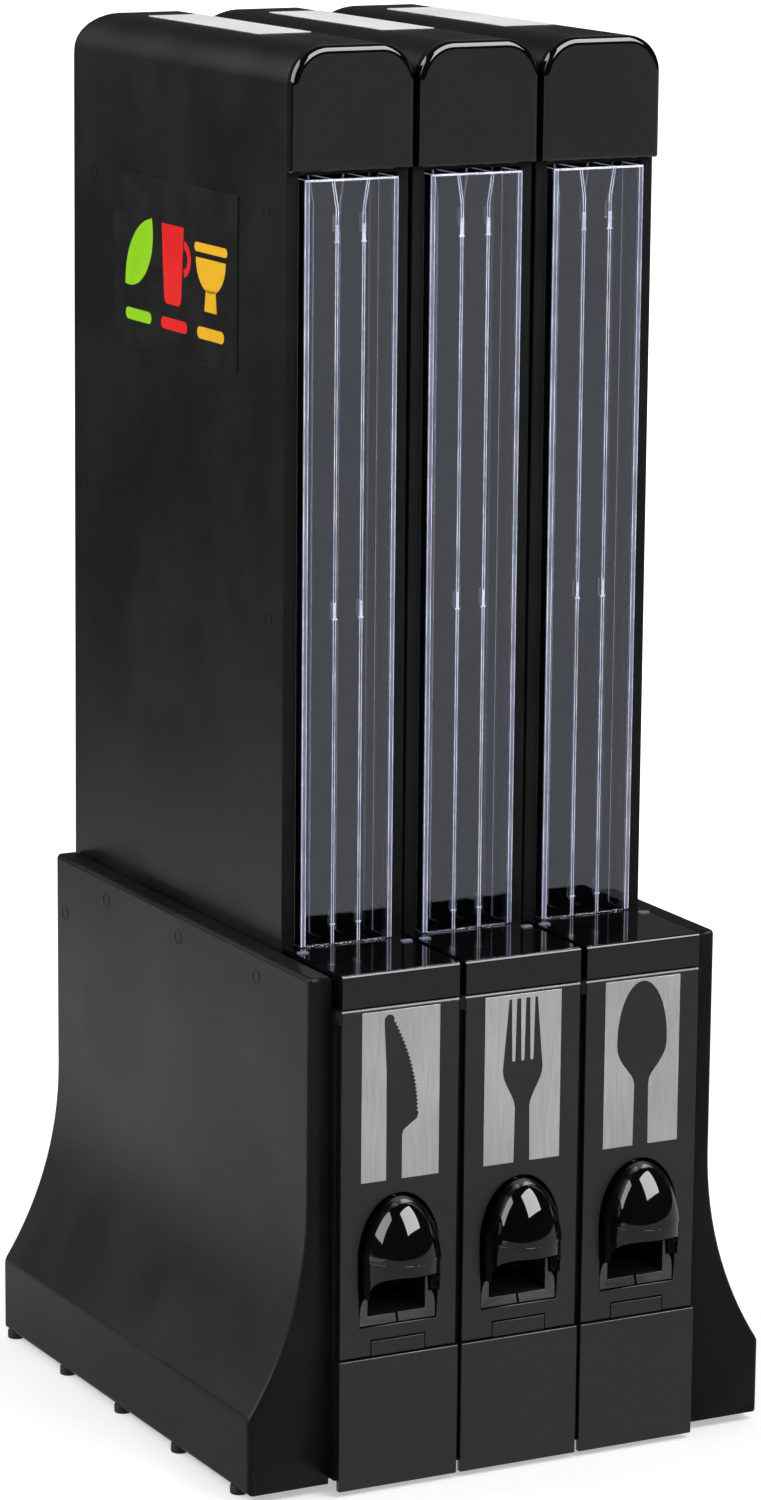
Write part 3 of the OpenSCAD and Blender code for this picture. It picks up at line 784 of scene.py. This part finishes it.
@dataclass
class Tower:
    """One magazine tower: two half shells, the refill cap, the clear window and the blank strip."""

    kind: Kind
    shell_edge: float = 0.5
    window_edge: float = 0.3
    cap_foot: float = 559.6
    cap_top: float = 611.5
    cap_half: float = 28.5
    cap_lean: float = 0.0018
    cap_back: float = -68.5
    cap_front: float = -74.5
    cap_edge: float = 2.8
    corner: float = 16.0
    foot_corner: float = 0.9
    least_corner: float = 0.25
    wall: float = 2.0
    tongue_inset: float = 6.0
    tongue_reach: float = 9.8
    hollow_depth: float = 2.2

    def outline(self, inset: float, count: int = 14) -> list[Flat]:
        """Front outline of the cap, drawn in by inset.

        Args:
            inset: distance inside the outer edge, in millimetres.
            count: points of each upper corner.

        Returns:
            X and Z of each point, anticlockwise from the lower left.
        """
        low, high = self.cap_foot + inset, self.cap_top - inset
        r, f = self.corner - inset, max(self.least_corner, self.foot_corner - inset * 0.2)
        x1 = self.cap_half - inset
        x0 = x1 + self.cap_lean * (self.cap_top - self.corner - self.cap_foot)
        points = [(x0 - f + f * math.sin(a), low + f - f * math.cos(a)) for a in
                  (i * math.pi / 8 for i in range(5))]
        points += [(x1 - r + r * math.cos(a), high - r + r * math.sin(a)) for a in
                   (i * math.pi / 2 / count for i in range(count + 1))]
        return points + [(-x, z) for x, z in reversed(points)]

    def cap(self) -> None:
        """Builds the refill cap as a loft with a rounded front rim and a tongue behind it."""
        name = f"refill_cap_{self.kind.word}"
        edge, front = self.cap_edge, self.cap_front
        turns = [i * math.pi / 12 for i in range(7)]
        steps = [(0.0, self.cap_back)]
        steps += [(edge * (1 - math.cos(a)), front + edge * (1 - math.sin(a))) for a in turns]
        steps.append((edge + 0.8, front))
        outside, inside = self.tongue_inset, self.tongue_inset + self.wall
        end = self.cap_back + self.tongue_reach
        tongue = [(inside, front + self.hollow_depth), (inside, end), (outside, end),
                  (outside, self.cap_back)]
        rings = [[(x + self.kind.x, y, z) for x, z in self.outline(inset)] for inset, y in tongue + steps]
        points = [p for ring in rings for p in ring]
        piece = mesh_of("shaped_" + name, points, loft_faces(len(rings[0]), len(rings)))
        soften(piece, 0.2, 2, 50.0)
        settle(piece, f"cap_{self.kind.word}", "gloss_black", [name])

    def build(self) -> None:
        """Builds the whole tower."""
        word = self.kind.word
        for side in ("left", "right"):
            dressed(f"tower_{side}_shell_{word}", "root", "tower_shell", self.shell_edge)
        dressed(f"sight_window_{word}", "root", "clear_window", self.window_edge)
        dressed(f"top_strip_{word}", "root", "pale_strip", 0.15)
        PaintedWindowLight(self.kind).build()
        self.cap()


@dataclass
class PaintedWindowLight:
    """Painted light on a clear window: thin glowing highlight bars along its edges and ribs that lie in its
    walls, glowing hazy corners and glowing tabs at its foot.
    """

    kind: Kind
    half: float = 21.8
    front: float = -72.4
    inside: float = -70.3
    rib_rear: float = -49.5
    wall_rear: float = -57.0
    foot: float = 230.6
    bend: float = 543.9
    head: float = 556.2
    rib: float = 6.3
    flare: float = 2.0
    line: float = 0.34
    beads: tuple[Point, ...] = ((530.5, 537.5, 1.7), (529.9, 530.5, 2.6), (371.5, 378.5, 1.3),
                                (371.0, 371.6, 2.4), (238.6, 239.2, 2.4))
    tab_ends: Flat = (27.2, 22.8)
    tab_y: float = -80.4
    tab_z: float = 230.3

    def rib_lines(self, side: int) -> list[Bar]:
        """Painted highlight lines of one guide rib.

        Args:
            side: -1 for the left rib and 1 for the right one.

        Returns:
            The bars.
        """
        t, bars = self.line, []
        for y, offsets in ((self.inside, (-0.5, 0.5)), (self.rib_rear, (0.0,))):
            for offset in offsets:
                x = side * self.rib + offset
                bars.append(((x, y, self.foot), (x, y, self.bend), t, t))
                bars.append(((x, y, self.bend), (x + side * self.flare, y, self.head), t, t))
        top = side * (self.rib + self.flare)
        bars.append(((top, self.front + 1, self.head + 0.1), (top, self.rib_rear, self.head + 0.1), 0.7, 0.3))
        x, y = side * self.rib, self.inside - 0.1
        return bars + [((x, y, low), (x, y, high), wide, 0.3) for low, high, wide in self.beads]

    def build(self) -> None:
        """Builds the glowing highlight lines, the glowing hazy corners and the glowing tabs."""
        t, bars, glow_bands = self.line, [], []
        face, crest = self.front + 0.15, self.head + 0.1
        for side in (-1, 1):
            bars += self.rib_lines(side)
            for x in (side * (self.half - 0.2), side * (self.half - 1.9)):
                bars.append(((x, face, self.foot), (x, face, self.head), t, t))
            x = side * (self.half - 1.05)
            glow_bands.append(((x, self.front + 0.6, self.foot), (x, self.front + 0.6, self.head - 0.5), 1.4, 0.2))
            bars.append(((x, self.wall_rear, self.foot), (x, self.wall_rear, self.head - 0.6), t, t))
            bars.append(((x, self.front + 1, crest), (x, self.wall_rear, crest), 1.2, 0.3))
        x, y, z = self.half - 0.1, self.front + 0.3, self.head - 0.1
        bars.append(((-x, y, z), (x, y, z), 0.5, 0.9))
        far, near = self.tab_ends
        y, z = self.tab_y, self.tab_z
        tabs = [((side * far, y, z), (side * near, y, z), 2.6, 0.7) for side in (-1, 1)]
        # Painted light: these lines, corners and tabs glow as highlights on the clear window.
        for name, lines, material in (("lines", bars, "glowing_edge_highlight"), ("corners", glow_bands, "glowing_haze_highlight"),
                                      ("tabs", tabs, "glowing_haze_highlight")):
            piece = sticks_of(f"window_{name}_{self.kind.word}", lines, self.kind.x)
            settle(piece, "root", "clear_window", material=material)


@dataclass
class Module:
    """The lower module of one dispenser: housing, cover, chute and skirt."""

    kind: Kind
    cover_edge: float = 0.5
    cover_half: float = 27.9
    panel_edge: float = 0.45
    chute_edge: float = 0.15
    # Throat and floor_slope bound the painted shade inside the chute: faces behind the throat that lean up
    # less than floor_slope are darkened.
    throat: float = -121.0
    floor_slope: float = 0.8

    def build(self) -> None:
        """Builds the whole module."""
        word = self.kind.word
        dress_node(f"module_housing_{word}", "housing_black")
        cover = merged_copy(f"top_cover_{word}", f"shaped_top_cover_{word}", whole=False)
        side, x = self.cover_half - 0.05, self.kind.x
        soften_where(cover, self.cover_edge, lambda *ends: all(abs(p.x - x) > side for p in ends), 3)
        settle(cover, "root", "gloss_black", [f"top_cover_{word}"])
        # Painted light: the chute's lighter finish paints the sheen on its bevels, and faces behind the
        # throat that don't face up take the darker housing finish as painted shade inside it.
        chute = dressed(f"outlet_chute_{word}", "root", "gloss_black", self.chute_edge, "outlet_painted_sheen")
        chute.data.materials.append(finish("housing_black"))
        for face in chute.data.polygons:
            if face.center.y / MM > self.throat and face.normal.z < self.floor_slope:
                face.material_index = 1
        dressed(f"lower_skirt_{word}", "root", "door_satin", self.panel_edge)


@dataclass
class Door:
    """The hinged front door with its label and latch."""

    kind: Kind
    face: float = -123.0
    panel_edge: float = 0.35
    label_edge: float = 0.06

    def build(self) -> None:
        """Builds the door and what it carries."""
        word = self.kind.word
        body = f"door_{word}"
        panel = merged_copy(f"front_door_{word}", f"shaped_front_door_{word}", whole=False)
        soften_where(panel, self.panel_edge, lambda a, b: max(a.y, b.y) < self.face + 0.05, 3)
        settle(panel, body, "door_satin", [f"front_door_{word}"])
        dressed(f"door_label_{word}", body, "label_silver", self.label_edge)
        dressed(f"door_latch_{word}", f"latch_{word}", "door_satin", self.panel_edge)


@dataclass
class Drive:
    """The push lever with its dome, the ejector slide and the return spring."""

    kind: Kind
    spring_rear: float = 139.6
    spring_front: float = 78.0
    spring_z: float = 80.8
    coil_radius: float = 3.5
    wire_radius: float = 0.5
    turns: float = 17.0
    dome_y: float = -123.5
    dome_r: float = 18.0
    dome_h: float = 26.5
    rim_z: float = 105.0
    rim_tilt: float = 10.0
    skin: float = 0.3
    skin_rows: int = 30
    skin_turns: int = 80
    skin_reach: float = 104.0
    rim_step: float = 0.15
    pole: float = 0.05
    rear_half: float = 7.0
    surface: float = 0.985

    def dome_point(self, share: float, inset: float) -> Flat:
        """One point of the dome's section, which leans in a little from the rim up.

        Args:
            share: 0 at the rim and 1 at the top.
            inset: distance inside the dome's face, in millimetres.

        Returns:
            Radius and height in millimetres.
        """
        start = math.radians(self.rim_tilt)
        t = start + (math.pi / 2 - start) * share
        rise = (math.sin(t) - math.sin(start)) / (1 - math.sin(start))
        radius = (self.dome_r - inset) * math.cos(t) / math.cos(start)
        return radius, self.rim_z + (self.dome_h - inset) * rise

    def sink_dome(self, lever: Piece) -> None:
        """Draws the solid's dome in, so that it lies just under the smooth skin.

        Args:
            lever: the lever, whose mesh is changed.
        """
        for vertex in lever.data.vertices:
            x, y = vertex.co.x / MM - self.kind.x, vertex.co.y / MM - self.dome_y
            z = (vertex.co.z / MM - self.rim_z) / self.dome_h
            across = Vector((x, y))
            if z < 0.01 or y > self.rear_half or math.hypot(across.length / self.dome_r, z) < self.surface:
                continue
            radius, height = self.dome_point(math.asin(min(1.0, z)) / (math.pi / 2), 2 * self.skin)
            across = across.normalized() * radius if across.length > 0.01 else across
            vertex.co = Vector((self.kind.x + across.x, self.dome_y + across.y, height)) * MM

    def dome_skin(self) -> None:
        """Builds the dome's smooth face as a thin closed shell round its front half."""
        t = self.skin
        outer, inner = [[self.dome_point(i / self.skin_rows, inset) for i in range(self.skin_rows)]
                        for inset in (0.0, t)]
        outer[0] = (outer[0][0], outer[0][1] + self.rim_step)
        foot = [(self.dome_r - 0.14, self.rim_z), (self.dome_r - 0.04, self.rim_z + 0.05)]
        top = self.rim_z + self.dome_h
        section = foot + outer + [(self.pole, top), (self.pole, top - t)] + inner[::-1]
        points = []
        for step in range(self.skin_turns + 1):
            a = math.radians(-self.skin_reach + 2 * self.skin_reach * step / self.skin_turns)
            points += [(self.kind.x + r * math.sin(a), self.dome_y - r * math.cos(a), z) for r, z in section]
        piece = mesh_of(f"dome_skin_{self.kind.word}", points, loft_faces(len(section), self.skin_turns + 1))
        for face in piece.data.polygons:
            face.use_smooth = len(face.vertices) == 4
        settle(piece, f"lever_{self.kind.word}", "gloss_black")

    def build(self) -> None:
        """Builds the lever, the slide and the spring."""
        word = self.kind.word
        lever = merged_copy(f"push_lever_{word}", f"shaped_push_lever_{word}")
        self.sink_dome(lever)
        soften(lever, 0.25, 2, 40.0)
        settle(lever, f"lever_{word}", "gloss_black", [f"push_lever_{word}"])
        self.dome_skin()
        dressed(f"ejector_slide_{word}", f"slide_{word}", "slide_grey", 0.3)
        length = self.spring_rear - self.spring_front - 2 * self.wire_radius
        place = (self.kind.x, self.spring_rear - self.wire_radius, self.spring_z)
        spring = COILS.grow(f"shaped_return_spring_{word}", [place], {
            "Turns": self.turns, "Coil Radius": self.coil_radius * MM, "Wire Radius": self.wire_radius * MM,
            "Length": length * MM, "Turn": (math.pi / 2, 0.0, 0.0), "Finish": finish("spring_steel")})
        settle(spring, "root", "spring_steel", [f"return_spring_{word}"])
        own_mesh(spring)


@dataclass
class Base:
    """The two cheeks, their feet, the base plate and the fastenings."""

    cheek_edge: float = 2.2
    cheek_top: float = 228.8
    cheek_x: float = 99.0
    flare_x: float = 126.8
    cheek_front: float = -116.0
    cheek_rear: float = 141.0
    foot_x: float = 122.8
    foot_first: float = -99.0
    foot_last: float = 136.0
    foot_count: int = 5
    foot_radius: float = 3.9
    foot_height: float = 4.0
    foot_hole: float = 0.7
    foot_edge: float = 0.6

    def is_outer(self, first: Vector, second: Vector) -> bool:
        """Tells whether an edge of a cheek lies on its outer front, rear or top rim.

        Args:
            first: one end of the edge, in millimetres.
            second: its other end.

        Returns:
            True on the outer rim.
        """
        ends = (first, second)
        top = all(p.z > self.cheek_top - 0.05 for p in ends)
        outer = all(abs(p.x) > self.cheek_x - 0.05 and
                    (p.y < self.cheek_front + 0.05 or p.y > self.cheek_rear - 0.05) for p in ends)
        widest = all(abs(p.x) > self.flare_x - 0.4 for p in ends)
        return top or outer or widest

    def feet(self) -> None:
        """Builds the rubber feet in two rows."""
        step = (self.foot_last - self.foot_first) / (self.foot_count - 1)
        places = [(side * self.foot_x, self.foot_first + i * step, self.foot_height / 2)
                  for side in (-1, 1) for i in range(self.foot_count)]
        feet = stamps("shaped_rubber_feet", places, "foot_rubber", self.foot_radius, self.foot_hole,
                      self.foot_height, self.foot_edge)
        settle(feet, "root", "foot_rubber", ["rubber_feet"])

    def build(self) -> None:
        """Builds the whole base."""
        for side in ("left", "right"):
            node = f"{side}_cheek"
            cheek = soften_where(merged_copy(node, "shaped_" + node), self.cheek_edge, self.is_outer)
            settle(cheek, "root", "cheek_matte", [node])
        self.feet()
        dress_node("base_plate", "housing_black")
        for node in ("door_pins", "lever_pins", "cheek_screws", "module_bolts", "base_screws"):
            dress_node(node, "spring_steel")


@dataclass
class Marks:
    """Faint round ejector marks on the outer side faces."""

    radius: float = 3.3
    rim: float = 0.45
    lift: float = 0.16
    rounding: float = 0.04
    tower: tuple[Point, ...] = ((-87.62, 121, 542.5), (-87.62, -50.6, 542.5), (-87.87, 132.7, 401.9),
                                (-87.93, -53.9, 370.3))
    cheek: tuple[Point, ...] = ((-99.0, 86, 218.5), (-99.0, 11, 218.3), (-99.0, -66, 218),
                                (-99.0, 131, 202.5), (-126.62, 96, 16), (-126.62, -63.4, 14),
                                (-126.62, -79, 16.4), (-126.62, 131, 15.7))

    def build(self) -> None:
        """Builds the marks of the left tower and the left cheek."""
        for name, places, slot in (("tower_marks", self.tower, "tower_shell"),
                                   ("cheek_marks", self.cheek, "cheek_matte")):
            marks = stamps(name, places, slot, self.radius, self.radius - self.rim, self.lift * 2,
                           self.rounding, (0.0, math.pi / 2, 0.0))
            settle(marks, "root", slot)


def arc(middle: Flat, radius: float, start: float, end: float, count: int = 12) -> list[Flat]:
    """Points of an arc, from the start to the end angle in degrees, in count steps."""
    turns = [math.radians(start + (end - start) * i / count) for i in range(count + 1)]
    return [(middle[0] + radius * math.cos(a), middle[1] + radius * math.sin(a)) for a in turns]


def bar(half: float, height: float, radius: float) -> list[Flat]:
    """Outline of a flat bar with round ends, from its half length, its height and its ends' radius."""
    return arc((half, height), radius, -90, 90, 6) + arc((-half, height), radius, 90, 270, 6)


@dataclass
class Patch:
    """The printed film on the left tower with three plain coloured motifs in a row."""

    middle: Flat = (37.5, 508.0)
    face: float = -88.06
    lean: float = 0.0018
    pitch: float = 36.0
    proud: float = 0.05
    sunk: float = -0.1

    def print_motif(self, name: str, place: int, outlines: Sequence[Sequence[Flat]]) -> None:
        """Lays flat shapes on the film.

        Args:
            name: name of the piece, which is also that of its finish.
            place: place in the row, -1 for the left one as it is looked at.
            outlines: closed outlines in millimetres from the motif's middle, to the right and up.
        """
        points, faces = [], []
        for outline in outlines:
            faces += loft_faces(len(outline), 2, len(points))
            for lift in (self.sunk, self.proud):
                for across, up in outline:
                    z = self.middle[1] + up
                    x = self.face + self.lean * (z - self.middle[1]) - lift
                    points.append((x, self.middle[0] - place * self.pitch - across, z))
        settle(mesh_of(name, points, faces), "root", "patch_black", material=name)

    def build(self) -> None:
        """Builds the film, a leaf, a cup and a bowl, each over a short bar."""
        dressed("side_patch", "root", "patch_black", 0.12)
        under = bar(10.5, -24.0, 2.6)
        leaf = arc((-9.5, 12.5), 24.0, -100, 18, 16) + arc((13.3, 19.9), 0.1, 0, 90, 1) + arc(
            (16.5, -10.3), 30.0, 98, 180, 16)
        cup = [(-12.5, 19.0), (-10.0, -12.0)] + arc((-6.5, -12.0), 3.5, 180, 270, 4) + arc(
            (3.5, -12.0), 3.5, 270, 360, 4) + [(9.5, 19.0)]
        handle = arc((8.6, 5.5), 8.0, -80, 80, 12) + arc((8.6, 5.5), 4.6, 80, -80, 12)
        bowl = arc((0.0, 8.0), 14.5, 180, 360, 20)
        foot = [(-6.0, -14.5), (6.0, -14.5), (4.6, -5.0), (-4.6, -5.0)]
        self.print_motif("motif_green", -1, [leaf, under])
        self.print_motif("motif_red", 0, [cup, handle, under])
        self.print_motif("motif_yellow", 1, [bowl, foot, bar(14.0, 12.4, 2.0), under])


# ---------------- studio


def mirror_rays(sheet: Sheet) -> tuple[Socket, Socket]:
    """Returns 1 for the camera's own rays, and 1 for rays by way of a glossy or clear surface."""
    path = sheet.add("ShaderNodeLightPath").outputs
    return path["Is Camera Ray"], sheet.math("MAXIMUM", path["Is Glossy Ray"], path["Is Transmission Ray"])


@dataclass
class Studio:
    """Floor, world, lamps and camera."""

    eye: Point = (-1075.48, -2025.51, 784.51)
    ahead: Point = (0.44958, 0.86164, -0.23549)
    roll: float = 0.45
    lens: float = 127.17
    shift: Flat = (0.0189, 0.0971)
    room_level: float = 0.015
    rear_level: float = 0.1
    fill_level: float = 0.55
    floor_front: float = 0.56
    floor_rear: float = 1.35
    floor_far: float = 0.07
    floor_way: Flat = (0.45, 0.86)
    lamp_aim: Point = (0, 0, 0.28)

    def world(self) -> None:
        """A white background; for reflections the room is dark and only what lies behind is pale."""
        world = bpy.data.worlds.new("studio_world")
        bpy.context.scene.world = world
        world.use_nodes = True
        sheet = Sheet(world.node_tree)
        way = sheet.add("ShaderNodeTexCoord").outputs["Generated"]
        split = sheet.add("ShaderNodeSeparateXYZ", {0: way})
        behind = sheet.ramp(split.outputs[1], 0.1, 0.6, self.room_level, self.rear_level, smooth=True)
        direct, shiny = mirror_rays(sheet)
        level = sheet.ramp(shiny, 0.0, 1.0, self.fill_level, behind)
        light = sheet.add("ShaderNodeBackground", {
            "Color": grey(1.0), "Strength": sheet.ramp(direct, 0.0, 1.0, level, 1.0)})
        sheet.add("ShaderNodeOutputWorld", {"Surface": light.outputs[0]})

    def floor(self) -> None:
        """A plain pale floor that keeps the shadow and darkens towards the back left in reflections."""
        mesh = bpy.data.meshes.new("studio_floor")
        work = bmesh.new()
        bmesh.ops.create_circle(work, cap_ends=True, segments=96, radius=14.0)
        work.to_mesh(mesh)
        work.free()
        floor = new_object("studio_floor", mesh)
        material, sheet = open_material("studio_floor")
        direct, shiny = mirror_rays(sheet)
        place = sheet.place()
        split = sheet.add("ShaderNodeSeparateXYZ", {0: place})
        back_left = sheet.math("SUBTRACT", sheet.math("MULTIPLY", split.outputs[1], self.floor_way[1]),
                               sheet.math("MULTIPLY", split.outputs[0], self.floor_way[0]))
        rise = sheet.ramp(back_left, 0.1, 0.55, self.floor_front, self.floor_rear, smooth=True)
        fade = sheet.ramp(back_left, 0.7, 1.5, 1.0, self.floor_far, smooth=True)
        seen = sheet.math("MULTIPLY", rise, fade)
        radius = sheet.add("ShaderNodeVectorMath", {0: place}, operation="LENGTH").outputs["Value"]
        own = sheet.math("MULTIPLY", direct, sheet.ramp(radius, 0.45, 1.8, 0.42, 1.0))
        shader = sheet.add("ShaderNodeBsdfPrincipled", {
            "Base Color": sheet.mix(shiny, grey(0.82), grey(0.0)), "Roughness": 0.9,
            "Specular IOR Level": 0.0, "Emission Color": grey(1.0),
            "Emission Strength": sheet.math("ADD", own, sheet.math("MULTIPLY", shiny, seen))})
        sheet.add("ShaderNodeOutputMaterial", {"Surface": shader.outputs[0]})
        mesh.materials.append(material)

    def lamp(self, name: str, azimuth: float, elevation: float, far: float, size: Flat, level: float,
             diffuse: bool = True) -> None:
        """Hangs one softbox round the object.

        Args:
            name: name of the lamp.
            azimuth: degrees from the front, positive to the right.
            elevation: degrees above the horizon.
            far: distance in metres.
            size: width and height in metres.
            level: its brightness, where 1 is white.
            diffuse: True for a softbox that only lights, False for one that only shows in reflections.
        """
        data = bpy.data.lights.new(name, "AREA")
        data.shape = "RECTANGLE"
        data.size, data.size_y = size
        data.energy = level * math.pi * size[0] * size[1]
        a, e = math.radians(azimuth), math.radians(elevation)
        way = Vector((math.sin(a) * math.cos(e), -math.cos(a) * math.cos(e), math.sin(e)))
        lamp = new_object(name, data)
        lamp.location = Vector(self.lamp_aim) + way * far
        lamp.rotation_mode = "QUATERNION"
        lamp.rotation_quaternion = way.to_track_quat("Z", "Y")
        lamp.visible_camera = False
        lamp.visible_diffuse = diffuse
        lamp.visible_glossy = not diffuse

    def camera(self) -> None:
        """The camera at the photograph's angle."""
        ahead = Vector(self.ahead).normalized()
        right = ahead.cross(Vector((0, 0, 1))).normalized()
        up = right.cross(ahead)
        r = math.radians(self.roll)
        tilted_right = right * math.cos(r) + up * math.sin(r)
        tilted_up = up * math.cos(r) - right * math.sin(r)
        data = bpy.data.cameras.new("photo_camera")
        data.lens = self.lens
        data.sensor_width = 36.0
        data.shift_x, data.shift_y = self.shift
        data.clip_start, data.clip_end = 0.05, 60.0
        camera = new_object("photo_camera", data)
        turn = Matrix((tilted_right, tilted_up, -ahead)).transposed().to_4x4()
        camera.matrix_world = Matrix.Translation(Vector(self.eye) * MM) @ turn
        bpy.context.scene.camera = camera

    def build(self) -> None:
        """Sets up the whole studio."""
        bpy.context.scene.view_settings.view_transform = "Standard"
        self.world()
        self.floor()
        self.lamp("softbox_left", -122, 32, 2.2, (1.1, 0.9), 6.6)
        self.lamp("softbox_right", 30, 50, 2.2, (1.1, 0.9), 6.6)
        self.lamp("window_left", -109, 31, 2.3, (2.9, 1.8), 6.2, diffuse=False)
        self.lamp("window_right", 23, 46, 2.3, (2.1, 2.0), 12.0, diffuse=False)
        self.camera()


def clear_start() -> None:
    """Removes the objects of Blender's start file."""
    for name in ("Cube", "Light", "Camera"):
        found = bpy.data.objects.get(name)
        if found is not None:
            bpy.data.objects.remove(found)


def main() -> None:
    """Builds every sub-assembly in order."""
    logging.basicConfig(level=logging.INFO, format="%(message)s")
    clear_start()
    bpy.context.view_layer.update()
    Studio().build()
    for kind in Kind:
        Tower(kind).build()
        Module(kind).build()
        Door(kind).build()
        Drive(kind).build()
    Base().build()
    Marks().build()
    Patch().build()
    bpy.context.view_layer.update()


if __name__ == "__main__":
    main()
